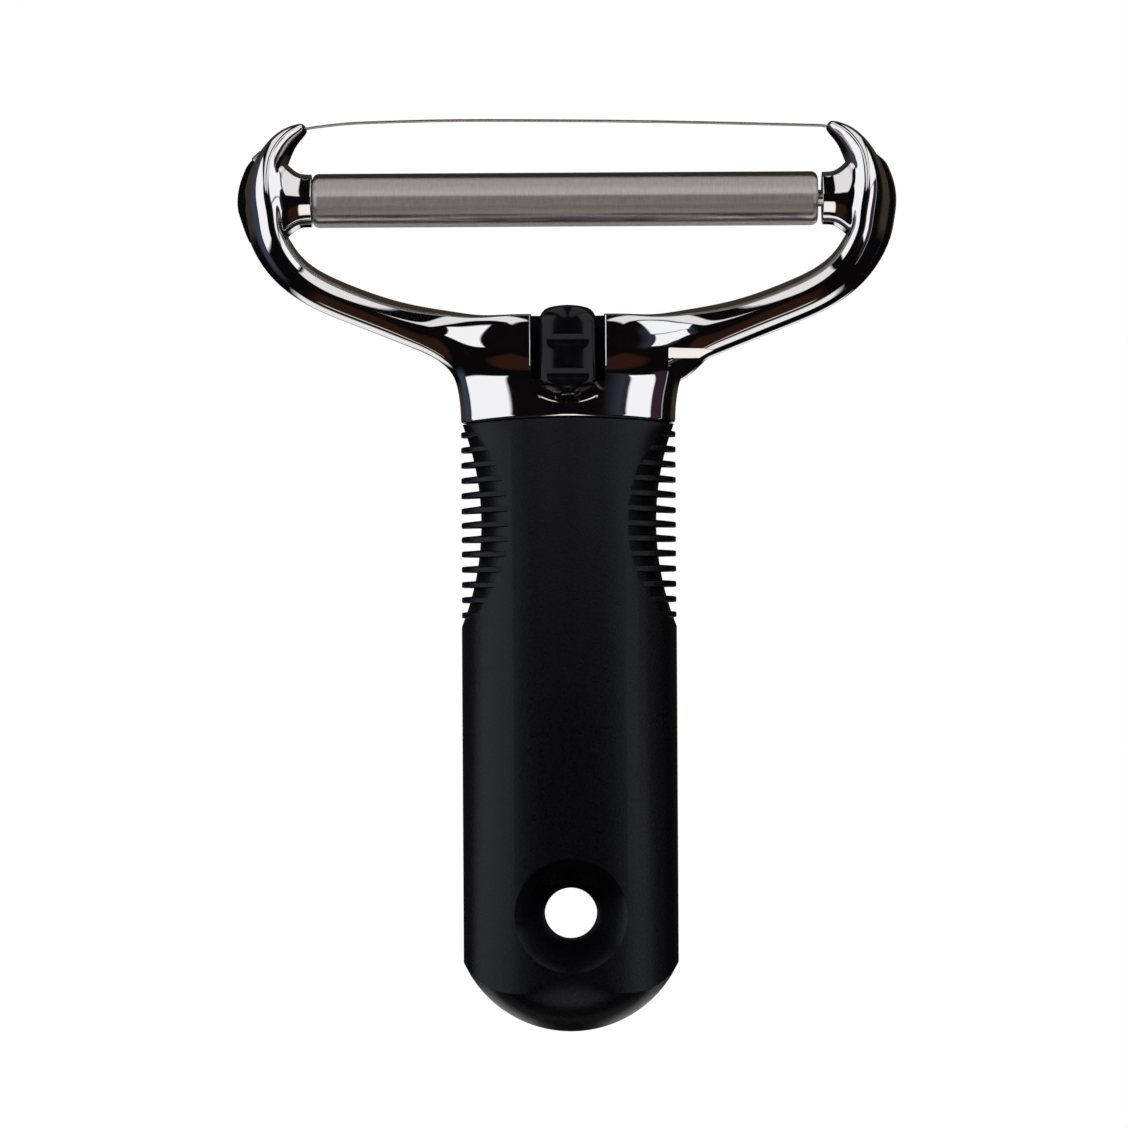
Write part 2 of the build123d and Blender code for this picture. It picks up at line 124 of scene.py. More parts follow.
studio = {
    "level": 0.8,
    "cards": (0.003, 0.0025, 0.0025),
    "boxes": [
        # name, from front, to, round from, to, softness, colour, strength
        ("topLeft", 17, 108, -40, -10, 3, (0.98, 0.94, 0.94), 0.85),
        ("topRight", 17, 108, 10, 40, 3, (0.98, 0.94, 0.94), 0.85),
        ("rightSide", 34, 84, 44, 74, 3, (0.98, 0.98, 1.0), 1.0),
        ("rightLow", 38, 64, 76, 115, 2, (0.99, 0.98, 1.0), 1.0),
        ("rightHaze", 26, 38, 60, 122, 12, (0.36, 0.40, 0.60), 0.07),
        ("rightPurple", 64, 82, 76, 122, 4, (0.30, 0.13, 0.24), 0.1),
        ("rightLine", 84, 86.5, 60, 125, 1, (0.9, 0.9, 0.95), 0.4),
        ("leftSide", 37, 93, -115, -54, 3, (0.99, 0.98, 1.0), 1.0),
        ("leftHaze", 94, 118, -128, -50, 14, (0.30, 0.38, 0.60), 0.12),
        ("lowFront", 19, 66, 167, 193, 4, (1.0, 0.92, 0.87), 1.0),
        ("lowUnder", 101, 107, 150, 210, 3, (1.0, 0.96, 0.9), 0.6),
        ("lowLeft", 124, 165, 196, 222, 6, (1.0, 0.99, 0.99), 0.85),
        ("lowRight", 122, 165, 138, 164, 6, (1.0, 0.99, 0.99), 0.85),
        ("brownRight", 24, 116, 146, 166, 6, (0.50, 0.16, 0.08), 0.045),
        ("brownLeft", 24, 116, 194, 214, 6, (0.50, 0.16, 0.08), 0.045),
        ("topBack", 118, 176, -100, 100, 12, (0.55, 0.42, 0.30), 0.07),
    ],
}


def softboxGroup():
    number = "NodeSocketFloat"
    group, given, result = newGroup(
        "softbox",
        [
            ("From front", number, 0.0),
            ("Side", "NodeSocketVector", (0, 0, 1)),
            ("Middle", "NodeSocketVector", (0, 0, 1)),
            ("Front middle", number, 60.0),
            ("Front half", number, 20.0),
            ("Round half", number, 30.0),
            ("Softness", number, 3.0),
        ],
        [("Mask", number)],
    )
    off = mathStep(group, "SUBTRACT", given["From front"], given["Front middle"])
    off = mathStep(group, "ABSOLUTE", off)
    turn = mathStep(group, "ARCCOSINE", dotStep(group, given["Side"], given["Middle"]))
    turn = mathStep(group, "DEGREES", turn)
    mask = None
    for place, size in ((off, "Front half"), (turn, "Round half")):
        edge = mathStep(group, "SUBTRACT", given[size], place)
        edge = mathStep(group, "DIVIDE", edge, given["Softness"])
        edge = mathStep(group, "ADD", edge, 0.5, clamp=True)
        mask = edge if mask is None else mathStep(group, "MULTIPLY", mask, edge)
    group.links.new(mask, result["Mask"])
    return group


def addWorld():
    world = bpy.data.worlds.new("studio")
    bpy.context.scene.world = world
    world.use_nodes = True
    tree = world.node_tree
    tree.nodes.clear()
    group = softboxGroup()
    direction = addNode(tree, "ShaderNodeTexCoord").outputs["Generated"]
    apart = addNode(tree, "ShaderNodeSeparateXYZ")
    tree.links.new(direction, apart.inputs[0])
    front = mathStep(tree, "MULTIPLY", apart.outputs["Y"], -1.0)
    front = mathStep(tree, "DEGREES", mathStep(tree, "ARCCOSINE", front))
    flat = put(addNode(tree, "ShaderNodeVectorMath", operation="MULTIPLY"), {1: (1, 0, 1)})
    side = addNode(tree, "ShaderNodeVectorMath", operation="NORMALIZE")
    tree.links.new(direction, flat.inputs[0])
    tree.links.new(flat.outputs[0], side.inputs[0])
    colour = addNode(tree, "ShaderNodeRGB")
    colour.outputs[0].default_value = (*studio["cards"], 1)
    total = colour.outputs[0]
    for name, near, far, first, last, softness, tint, strength in studio["boxes"]:
        middle = math.radians((first + last) / 2)
        box = addNode(tree, "ShaderNodeGroup", node_tree=group, label=name)
        put(
            box,
            {
                "Middle": (math.sin(middle), 0, math.cos(middle)),
                "Front middle": (near + far) / 2,
                "Front half": (far - near) / 2,
                "Round half": (last - first) / 2,
                "Softness": softness,
            },
        )
        tree.links.new(front, box.inputs["From front"])
        tree.links.new(side.outputs[0], box.inputs["Side"])
        mix = addNode(tree, "ShaderNodeMix", data_type="RGBA", blend_type="ADD")
        mix.inputs["B"].default_value = (*[channel * strength for channel in tint], 1)
        tree.links.new(box.outputs["Mask"], mix.inputs["Factor"])
        tree.links.new(total, mix.inputs["A"])
        total = mix.outputs["Result"]
    gloss = addNode(tree, "ShaderNodeBackground")
    tree.links.new(total, gloss.inputs["Color"])
    level = put(addNode(tree, "ShaderNodeBackground"), {"Color": (1, 1, 1, 1), "Strength": studio["level"]})
    white = put(addNode(tree, "ShaderNodeBackground"), {"Color": (1, 1, 1, 1), "Strength": 1})
    path = addNode(tree, "ShaderNodeLightPath")
    seen = mathStep(tree, "MAXIMUM", path.outputs["Is Camera Ray"], path.outputs["Is Transmission Ray"])
    lit = addNode(tree, "ShaderNodeMixShader")
    tree.links.new(path.outputs["Is Glossy Ray"], lit.inputs[0])
    tree.links.new(level.outputs[0], lit.inputs[1])
    tree.links.new(gloss.outputs[0], lit.inputs[2])
    both = addNode(tree, "ShaderNodeMixShader")
    tree.links.new(seen, both.inputs[0])
    tree.links.new(lit.outputs[0], both.inputs[1])
    tree.links.new(white.outputs[0], both.inputs[2])
    out = addNode(tree, "ShaderNodeOutputWorld")
    tree.links.new(both.outputs[0], out.inputs["Surface"])


addWorld()

sun = {"energy": 0.7, "spread": 25, "turn": (38, -18, 0)}


def addSun():
    data = bpy.data.lights.new("softSun", "SUN")
    data.energy = sun["energy"]
    data.angle = math.radians(sun["spread"])
    lamp = bpy.data.objects.new("softSun", data)
    lamp.rotation_euler = [math.radians(angle) for angle in sun["turn"]]
    lamp.visible_glossy = False
    bpy.context.scene.collection.objects.link(lamp)


addSun()

floor = {
    "height": -0.0515,
    "radius": 0.6,
    "fadeFrom": 0.05,
    "fadeTo": 0.12,
    "colour": (0.93, 0.93, 0.93, 1),
}


def addFloor():
    mesh = bmesh.new()
    bmesh.ops.create_circle(mesh, cap_ends=True, segments=64, radius=floor["radius"])
    bmesh.ops.translate(mesh, verts=mesh.verts, vec=(0, 0, floor["height"]))
    data = bpy.data.meshes.new("floor")
    mesh.to_mesh(data)
    mesh.free()
    sheet = bpy.data.objects.new("floor", data)
    bpy.context.scene.collection.objects.link(sheet)
    sheet.visible_glossy = False
    paint = bpy.data.materials.new("paleFloor")
    paint.use_nodes = True
    tree = paint.node_tree
    tree.nodes.clear()
    matt = put(addNode(tree, "ShaderNodeBsdfDiffuse"), {"Color": floor["colour"]})
    glow = put(addNode(tree, "ShaderNodeEmission"), {"Color": (1, 1, 1, 1), "Strength": 1})
    place = addNode(tree, "ShaderNodeTexCoord").outputs["Object"]
    flat = put(addNode(tree, "ShaderNodeVectorMath", operation="MULTIPLY"), {1: (1, 1, 0)})
    reach = addNode(tree, "ShaderNodeVectorMath", operation="LENGTH")
    tree.links.new(place, flat.inputs[0])
    tree.links.new(flat.outputs[0], reach.inputs[0])
    fade = addNode(tree, "ShaderNodeMapRange", interpolation_type="SMOOTHSTEP")
    put(fade, {"From Min": floor["fadeFrom"], "From Max": floor["fadeTo"]})
    tree.links.new(reach.outputs["Value"], fade.inputs["Value"])
    path = addNode(tree, "ShaderNodeLightPath")
    seen = mathStep(tree, "MULTIPLY", fade.outputs[0], path.outputs["Is Camera Ray"])
    mix = addNode(tree, "ShaderNodeMixShader")
    tree.links.new(seen, mix.inputs[0])
    tree.links.new(matt.outputs[0], mix.inputs[1])
    tree.links.new(glow.outputs[0], mix.inputs[2])
    out = addNode(tree, "ShaderNodeOutputMaterial")
    tree.links.new(mix.outputs[0], out.inputs["Surface"])
    data.materials.append(paint)


addFloor()
print("camera, light and floor ready")


# Effects that several finishes share


def grainGroup():
    number = "NodeSocketFloat"
    group, given, result = newGroup(
        "grain",
        [("Size", number, 1000.0), ("Detail", number, 3.0), ("Low", number, 0.3), ("High", number, 0.6)],
        [("Height", number), ("Tone", number)],
    )
    place = addNode(group, "ShaderNodeTexCoord").outputs["Object"]
    noise = addNode(group, "ShaderNodeTexNoise")
    group.links.new(place, noise.inputs["Vector"])
    group.links.new(given["Size"], noise.inputs["Scale"])
    group.links.new(given["Detail"], noise.inputs["Detail"])
    spread = put(addNode(group, "ShaderNodeMapRange"), {"From Min": 0.3, "From Max": 0.7})
    group.links.new(noise.outputs[0], spread.inputs["Value"])
    group.links.new(given["Low"], spread.inputs["To Min"])
    group.links.new(given["High"], spread.inputs["To Max"])
    group.links.new(noise.outputs[0], result["Height"])
    group.links.new(spread.outputs[0], result["Tone"])
    return group


def streakGroup():
    number, vector = "NodeSocketFloat", "NodeSocketVector"
    group, given, result = newGroup(
        "streaks",
        [("Stretch", vector, (1, 1, 1)), ("Low", number, 0.3), ("High", number, 0.6)],
        [("Height", number), ("Tone", number)],
    )
    place = addNode(group, "ShaderNodeTexCoord").outputs["Object"]
    pull = addNode(group, "ShaderNodeVectorMath", operation="MULTIPLY")
    group.links.new(place, pull.inputs[0])
    group.links.new(given["Stretch"], pull.inputs[1])
    noise = put(addNode(group, "ShaderNodeTexNoise"), {"Scale": 1, "Detail": 4, "Roughness": 0.65})
    group.links.new(pull.outputs[0], noise.inputs["Vector"])
    spread = put(addNode(group, "ShaderNodeMapRange"), {"From Min": 0.3, "From Max": 0.7})
    group.links.new(noise.outputs[0], spread.inputs["Value"])
    group.links.new(given["Low"], spread.inputs["To Min"])
    group.links.new(given["High"], spread.inputs["To Max"])
    group.links.new(noise.outputs[0], result["Height"])
    group.links.new(spread.outputs[0], result["Tone"])
    return group


grain = grainGroup()
streaks = streakGroup()


def newFinish(name, values, effect, settings, bump, tint=None):
    # effect gives the roughness and the relief, tint the two ends of the colour
    finish = bpy.data.materials.new(name)
    finish.use_nodes = True
    tree = finish.node_tree
    shader = put(tree.nodes["Principled BSDF"], values)
    detail = put(addNode(tree, "ShaderNodeGroup", node_tree=effect), settings)
    tree.links.new(detail.outputs["Tone"], shader.inputs["Roughness"])
    relief = put(addNode(tree, "ShaderNodeBump"), {"Strength": bump[0], "Distance": bump[1]})
    tree.links.new(detail.outputs["Height"], relief.inputs["Height"])
    tree.links.new(relief.outputs[0], shader.inputs["Normal"])
    if tint:
        ramp = addNode(tree, "ShaderNodeMix", data_type="RGBA")
        ramp.inputs["A"].default_value = (*tint[0], 1)
        ramp.inputs["B"].default_value = (*tint[1], 1)
        tree.links.new(detail.outputs["Height"], ramp.inputs["Factor"])
        tree.links.new(ramp.outputs["Result"], shader.inputs["Base Color"])
    return finish


chrome = newFinish(
    "chrome",
    {"Metallic": 1.0},
    streaks,
    {"Stretch": (90, 90, 60), "Low": 0.02, "High": 0.05},
    (0.1, 0.0001),
    ((0.86, 0.87, 0.88), (0.92, 0.92, 0.93)),
)
brushedSteel = newFinish(
    "brushedSteel",
    {"Metallic": 1.0, "Anisotropic": 1.0, "Anisotropic Rotation": 0.25},
    streaks,
    {"Stretch": (3200, 700, 700), "Low": 0.31, "High": 0.41},
    (0.45, 0.00004),
    ((0.52, 0.48, 0.46), (0.82, 0.77, 0.74)),
)


def brushRound(finish):
    # the brushing runs round the roller's axle
    tree = finish.node_tree
    around = addNode(tree, "ShaderNodeTangent", direction_type="RADIAL", axis="X")
    tree.links.new(around.outputs[0], tree.nodes["Principled BSDF"].inputs["Tangent"])


brushRound(brushedSteel)
rubber = newFinish(
    "softRubber",
    {"Specular IOR Level": 0.32, "Specular Tint": (0.8, 0.84, 1.0, 1)},
    grain,
    {"Size": 2600, "Detail": 3, "Low": 0.26, "High": 0.4},
    (0.5, 0.00005),
    ((0.0002, 0.0002, 0.0004), (0.002, 0.002, 0.003)),
)
glossBlack = newFinish(
    "glossBlack",
    {"Specular IOR Level": 0.32, "Specular Tint": (0.86, 0.88, 1.0, 1)},
    grain,
    {"Size": 500, "Detail": 3, "Low": 0.12, "High": 0.2},
    (0.1, 0.00003),
    ((0.001, 0.001, 0.0015), (0.004, 0.004, 0.0045)),
)
plainSteel = newFinish(
    "plainSteel",
    {"Metallic": 1.0},
    grain,
    {"Size": 900, "Detail": 3, "Low": 0.15, "High": 0.3},
    (0.2, 0.00002),
    ((0.55, 0.55, 0.56), (0.7, 0.7, 0.71)),
)
wireSteel = newFinish(
    "wireSteel",
    {"Metallic": 1.0},
    streaks,
    {"Stretch": (300, 3000, 3000), "Low": 0.18, "High": 0.3},
    (0.2, 0.00001),
    ((0.5, 0.48, 0.47), (0.68, 0.66, 0.65)),
)
innerPlastic = newFinish(
    "innerPlastic",
    {},
    grain,
    {"Size": 1500, "Detail": 3, "Low": 0.45, "High": 0.6},
    (0.2, 0.00005),
    ((0.02, 0.02, 0.022), (0.04, 0.04, 0.042)),
)
paleNylon = newFinish(
    "paleNylon",
    {"Subsurface Weight": 0.1},
    grain,
    {"Size": 1200, "Detail": 3, "Low": 0.35, "High": 0.5},
    (0.2, 0.00004),
    ((0.68, 0.67, 0.63), (0.76, 0.75, 0.71)),
)

carried = {
    "handle_core": innerPlastic,
    "tang_pins": plainSteel,
    "roller_bush_left": paleNylon,
    "roller_bush_right": paleNylon,
    "roller_axle": plainSteel,
    "cutting_wire": wireSteel,
    "wire_anchor_bead": plainSteel,
    "wire_end_bead": plainSteel,
    "hook_plate": plainSteel,
    "button_stop_pin": plainSteel,
}
for name, finish in carried.items():
    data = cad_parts[name].data
    data.materials.clear()
    data.materials.append(finish)
print("finishes ready")


# Pieces


def makeObject(name, mesh, finish, body, slot, *nodes, flatAngle=30):
    data = bpy.data.meshes.new(name)
    mesh.normal_update()
    mesh.to_mesh(data)
    mesh.free()
    data.shade_smooth()
    data.set_sharp_from_angle(angle=math.radians(flatAngle))
    data.materials.append(finish)
    piece = bpy.data.objects.new(name, data)
    bpy.context.scene.collection.objects.link(piece)
    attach(piece, body)
    if nodes:
        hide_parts(*nodes)
    return piece


def copyOf(node):
    mesh = bmesh.new()
    mesh.from_mesh(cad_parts[node].data)
    bmesh.ops.remove_doubles(mesh, verts=mesh.verts, dist=1e-6)
    return mesh


# Head: one chromed casting, drawn as a cage of sections and smoothed
# each section of the right half gives across, up, width and depth, from the middle to the tip

head = {
    "sections": [
        (0.0, 99.5, 15.54, 20.06),
        (9.93, 100.14, 14.56, 19.9),
        (17.23, 101.12, 13.16, 17.5),
        (22.48, 103.98, 9.31, 13.3),
        (28.15, 105.9, 7.42, 11.8),
        (34.9, 108.17, 6.58, 10.97),
        (42.16, 111.03, 6.51, 10.6),
        (47.3, 113.8, 6.51, 10.6),
        (51.2, 117.4, 6.72, 10.97),
        (53.75, 121.9, 7.0, 11.8),
        (54.6, 125.3, 7.0, 11.95),
        (54.95, 128.4, 7.0, 12.04),
        (54.5, 131.3, 6.75, 11.5),
        (53.5, 134.2, 6.1, 10.3),
        (52.1, 137.0, 5.2, 8.6),
        (50.1, 139.6, 3.9, 6.8),
        (47.6, 141.3, 2.4, 4.6),
    ],
    # how square the first sections are, 1 being oval
    "square": (0.1, 0.1, 0.2, 0.6, 0.9),
    # how far a section's front leans towards the roller; the last value holds to the tip
    "lean": {7: 0.08, 8: 0.22, 9: 0.36, 10: 0.44, 11: 0.4, 12: 0.2, 13: -0.05, 14: -0.3},
    "corners": 12,
    "neckRow": 3,  # the section where an arm leaves the neck
    "neckTurns": (0, 19, 37, 54, 68, 79, 90, 101, 112, 126, 143, 161, 180),
    # up, half width, half depth
    "neckLoops": (
        (97.6, 20.7, 9.9),
        (94.8, 19.75, 10.1),
        (91.5, 19.3, 10.2),
        (89.6, 19.2, 10.22),
        (88.75, 19.2, 10.22),
        (88.3, 19.12, 10.14),
        (88.02, 18.8, 9.82),
        (87.96, 18.0, 9.0),
        (87.96, 14.0, 6.0),
    ),
    "neckArch": {"below": 90.0, "rise": 1.0, "half": 19.35},
    "bossRows": (9, 13),
    "bossUp": 128.4,
    # across, half depth, half height
    "bossLoops": (
        (51.4, 5.1, 8.0),
        (50.3, 4.95, 6.6),
        (49.1, 4.85, 5.5),
        (48.2, 4.78, 4.95),
        (47.3, 4.75, 4.75),
        (46.2, 4.75, 4.75),
        (45.92, 4.74, 4.74),
        (45.9, 4.6, 4.6),
        (45.9, 3.2, 3.2),
    ),
    "smooth": 3,
    # width, depth, low and high end
    "tang": (15.0, 7.4, 26.7, 94.0),
    "pinHoles": (38.7, 64.7),
    "axleHoles": ((39.9, 51.9), (-64.4, -39.9)),
    "holeRadius": 1.52,
}


def ringShrink(corners):
    # how far a smoothed ring draws in from its cage
    return (4 + 2 * math.cos(math.tau / corners)) / 6


def rowBefore(cage, index):
    return cage[index - 1] if index else Vector((-cage[1][0], *cage[1][1:]))


def rowAfter(cage, index):
    return cage[index + 1] if index + 1 < len(cage) else cage[-1] * 2 - cage[-2]


def fittedRows(rows):
    # moves the rows of a cage so that its smoothed shape passes through them
    cage = [Vector(row) for row in rows]
    for _ in range(6):
        smoothed = [(rowBefore(cage, i) + row * 4 + rowAfter(cage, i)) / 6 for i, row in enumerate(cage)]
        cage = [row + Vector(goal) - flat for row, goal, flat in zip(cage, rows, smoothed)]
    return cage


armCage = fittedRows(head["sections"])
armEnd = len(armCage) - 1


def armRow(place):
    # across, up, width and depth of the smoothed arm at a place between two sections
    index = min(int(place), armEnd - 1)
    t = place - index
    near = (rowBefore(armCage, index), armCage[index], armCage[index + 1], rowAfter(armCage, index + 1))
    weights = ((1 - t) ** 3, 3 * t**3 - 6 * t**2 + 4, -3 * t**3 + 3 * t**2 + 3 * t + 1, t**3)
    row = Vector((0, 0, 0, 0))
    for weight, part in zip(weights, near):
        row += part * (weight / 6)
    return row


def armFrame(place, side=1):
    # centre, direction away from the roller and direction along the arm
    row, run = armRow(place), armRow(min(place + 0.05, armEnd)) - armRow(max(place - 0.05, 0))
    along = Vector((run[0], 0, run[1])).normalized() if place else Vector((1, 0, 0))
    centre = Vector((row[0] * side, 0, row[1]))
    return centre, Vector((along.z * side, 0, -along.x)), Vector((along.x * side, 0, along.z))


def sectionMatrix(centre, outward, along, halfWidth, halfDepth):
    turn = Matrix((outward * halfWidth, Vector((0, 1, 0)) * halfDepth, along)).transposed().to_4x4()
    return Matrix.Translation(centre) @ turn


def newParts(result):
    verts = [item for item in result["geom"] if isinstance(item, bmesh.types.BMVert)]
    chosen = set(verts)
    edges = [item for item in result["geom"] if isinstance(item, bmesh.types.BMEdge)]
    return verts, [edge for edge in edges if set(edge.verts) <= chosen]


def leanOf(index):
    lean = head["lean"]
    return lean.get(index, 0) if index <= max(lean) else lean[max(lean)]


def shapeRing(verts, unit, index, place):
    # sets a ring's vertices on their section, each from its place on a round ring
    square = head["square"][index] if index < len(head["square"]) else 1
    lean = leanOf(index)
    for vert in verts:
        out, back = [math.copysign(abs(part) ** square, part) for part in vert[unit].xy]
        vert.co = place @ Vector((out * math.sqrt(1 - lean**2) + back * lean, back, 0))


def headCage():
    mesh = bmesh.new()
    tag = mesh.verts.layers.int.new("row")
    unit = mesh.verts.layers.float_vector.new("unit")
    shrink = ringShrink(head["corners"])
    ring = None
    for index, (across, up, width, depth) in enumerate(armCage):
        _, outward, along = armFrame(index)
        centre = Vector((across, 0, up))
        place = sectionMatrix(centre, outward, along, width / 2 / shrink, depth / 2 / shrink)
        if ring is None:
            verts = bmesh.ops.create_circle(mesh, segments=head["corners"], radius=1)["verts"]
            ring = mesh.edges[:]
            for vert in verts:
                vert[unit] = vert.co
        else:
            verts, ring = newParts(bmesh.ops.extrude_edge_only(mesh, edges=ring))
        shapeRing(verts, unit, index, place)
        for vert in verts:
            vert[tag] = index
    verts, ring = newParts(bmesh.ops.extrude_edge_only(mesh, edges=ring))
    centre = sum((vert.co for vert in verts), Vector()) / len(verts)
    for vert in verts:
        vert[tag] = len(armCage)
        vert.co = centre + (vert.co - centre) * 0.55 + along * 0.8
    bmesh.ops.contextual_create(mesh, geom=ring)
    return mesh, tag


def openPatch(mesh, tag, rows, chosen):
    # removes the faces of a patch and gives the edges round the hole
    patch = []
    for face in mesh.faces:
        marks = [vert[tag] for vert in face.verts]
        if min(marks) >= rows[0] and max(marks) <= rows[1] and chosen(face, sum(marks) / len(marks)):
            patch.append(face)
    inside = set(patch)
    rim = []
    for face in patch:
        rim += [edge for edge in face.edges if any(other not in inside for other in edge.link_faces)]
    bmesh.ops.delete(mesh, geom=patch, context="FACES_ONLY")
    bmesh.ops.delete(mesh, geom=[edge for edge in mesh.edges if not edge.link_faces], context="EDGES")
    return [edge for edge in rim if edge.is_valid]


def pullLoops(mesh, rim, order, loops):
    # draws a rim out, and sets each new loop's vertices on the given places in their order
    for loop in loops:
        verts, rim = newParts(bmesh.ops.extrude_edge_only(mesh, edges=rim))
        for vert, place in zip(sorted(verts, key=order), loop, strict=True):
            vert.co = place
    return rim


def addNeck(mesh, tag):
    def below(face, place):
        centre, outward, _ = armFrame(place)
        return (face.calc_center_median() - centre).dot(outward) > 0

    rim = openPatch(mesh, tag, (0, head["neckRow"]), below)
    scale = ringShrink(2 * len(head["neckTurns"]) - 2)
    angles = [math.radians(turn) for turn in head["neckTurns"]]
    arch = head["neckArch"]
    loops = []
    for up, wide, deep in head["neckLoops"]:
        loop = []
        for a in angles:
            across = wide * math.sin(a)
            rise = arch["rise"] * (1 - (across / arch["half"]) ** 2) if up < arch["below"] else 0
            loop.append(Vector((across / scale, -deep * math.cos(a) / scale, up + rise)))
        loops.append(loop)
    pullLoops(mesh, rim, lambda vert: math.atan2(abs(vert.co.x), -vert.co.y), loops)


def addBoss(mesh, tag):
    up = head["bossUp"]

    def facesRoller(face, place):
        centre, outward, _ = armFrame(place)
        off = face.calc_center_median() - centre
        return off.dot(outward) < 0 and abs(off.y) < 0.45 * armRow(place)[3]

    rim = openPatch(mesh, tag, head["bossRows"], facesRoller)
    count = len(rim)
    scale = ringShrink(count)
    angles = [math.tau * index / count for index in range(count)]
    loops = []
    for across, deep, high in head["bossLoops"]:
        deep, high = deep / scale, high / scale
        loops.append([Vector((across, deep * math.cos(a), up + high * math.sin(a))) for a in angles])
    rim = pullLoops(mesh, rim, lambda vert: (math.atan2(vert.co.z - up, vert.co.y) + 0.1) % math.tau, loops)
    bmesh.ops.contextual_create(mesh, geom=rim)


def meshObject(name, mesh):
    data = bpy.data.meshes.new(name)
    mesh.to_mesh(data)
    mesh.free()
    piece = bpy.data.objects.new(name, data)
    bpy.context.scene.collection.objects.link(piece)
    return piece


def settled(piece):
    # gives the piece's mesh with its modifiers applied and removes the piece
    bpy.context.view_layer.update()
    seen = piece.evaluated_get(bpy.context.evaluated_depsgraph_get())
    mesh = bmesh.new()
    mesh.from_mesh(seen.to_mesh())
    seen.to_mesh_clear()
    bpy.data.objects.remove(piece)
    return mesh


def smoothed(mesh, levels):
    piece = meshObject("cage", mesh)
    step = piece.modifiers.new("smooth", "SUBSURF")
    step.levels = step.render_levels = levels
    return settled(piece)


def joined(mesh, tools):
    # cuts each tool from the mesh or adds it
    piece = meshObject("blank", mesh)
    helpers = []
    for operation, tool in tools:
        bmesh.ops.recalc_face_normals(tool, faces=tool.faces)
        helper = meshObject("tool", tool)
        step = piece.modifiers.new("join", "BOOLEAN")
        step.operation, step.object, step.solver = operation, helper, "MANIFOLD"
        helpers.append(helper)
    result = settled(piece)
    for helper in helpers:
        bpy.data.objects.remove(helper)
    return result


def capEnds(mesh):
    bmesh.ops.holes_fill(mesh, edges=[edge for edge in mesh.edges if edge.is_boundary], sides=0)
    bmesh.ops.recalc_face_normals(mesh, faces=mesh.faces)
    return mesh


def drawnBlock(low, high):
    mesh = bmesh.new()
    size, middle = Vector(high) - Vector(low), (Vector(high) + Vector(low)) / 2
    bmesh.ops.create_cube(mesh, size=1, matrix=Matrix.Translation(middle) @ Matrix.Diagonal(size).to_4x4())
    return mesh


def drawnRod(start, end, radius, segments=40):
    mesh = bmesh.new()
    run = Vector(end) - Vector(start)
    turn = run.to_track_quat("Z", "Y").to_matrix().to_4x4()
    bmesh.ops.create_cone(
        mesh,
        cap_ends=True,
        segments=segments,
        radius1=radius,
        radius2=radius,
        depth=run.length,
        matrix=Matrix.Translation((Vector(start) + Vector(end)) / 2) @ turn,
    )
    return mesh


groove = {
    "railStart": 2.0,
    "railEnd": 13.7,
    "railSink": (1.3, 0.9),
    "pocketStart": 9.1,
    "channelStart": 3,
    "past": 3,
    # offset from the arm's edge, y, half width, half depth, corners
    "rail": (-0.6, 2.5, 1.6, 1.9, 24),
    "channel": (2.15, 0.8, 3.85, 0.55, 4),
    "pocket": (1.4, 0.8, 4.6, 1.5, 4),
    # over how many sections a strip sinks at its start and its end
    "runIn": (1.6, 0.9),
    "stepsPerSection": 4,
}


def armStrip(side, first, last, offset, y, halfWidth, halfDepth, corners, beyond=0, sink=0):
    # a strip along the outer edge of an arm, square or oval in section
    # beyond carries it past its end, sink draws both its ends into the arm
    mesh = bmesh.new()
    steps = round((last - first) * groove["stepsPerSection"])
    runIn, runOut = groove["runIn"]
    stretch = math.sqrt(2) if corners == 4 else 1
    spin = Matrix.Rotation(math.pi / 4, 4, "Z") if corners == 4 else Matrix.Identity(4)
    stops = [(first + (last - first) * step / steps, 0) for step in range(steps + 1)]
    if beyond:
        stops.append((last, beyond))
    ring, before = None, None
    for place, further in stops:
        centre, outward, along = armFrame(place, side)
        fall = sink * (max(0, 1 - (last - place) / runOut) + max(0, 1 - (place - first) / runIn))
        off = armRow(place)[2] / 2 + offset - fall
        centre = centre + outward * off + along * further + Vector((0, y, 0))
        now = sectionMatrix(centre, outward, along, halfWidth * stretch, halfDepth * stretch) @ spin
        if ring is None:
            bmesh.ops.create_circle(mesh, segments=corners, radius=1, matrix=now)
            ring = mesh.edges[:]
        else:
            verts, ring = newParts(bmesh.ops.extrude_edge_only(mesh, edges=ring))
            bmesh.ops.transform(mesh, matrix=now @ before.inverted(), verts=verts)
        before = now
    return capEnds(mesh)


slot = {
    "halfWidth": 6.55,
    "floor": 3.0,
    "low": 91.8,
    "arc": 10.8,
    "high": 115.0,
    # y and how far the slot's edge stands out there
    "mouth": ((-9.35, 0.0), (-9.5, 0.02), (-9.63, 0.08), (-9.73, 0.17), (-9.8, 0.3), (-16.0, 0.33)),
    "sideRoom": ((-7.57, -0.97, 93.3), (7.57, 1.97, 116.0)),
    "notchRoom": ((18.0, 96.5), (31.0, 101.1)),
    "notchDepths": (0.55, -0.25, -16),
    "grooveRoom": ((18.0, 0.2, 96.5), (27.6, 1.35, 100.4)),
    "wireHole": ((19.2, 0.8, 99.3), (6.0, 0.8, 93.9), 0.9),
    "springBore": ((0, 0.5, 84.2), (0, 0.5, 95.0), 2.6),
    "stopHole": ((0, 0.5, 102.0), (0, 16, 102.0), 1.27),
}


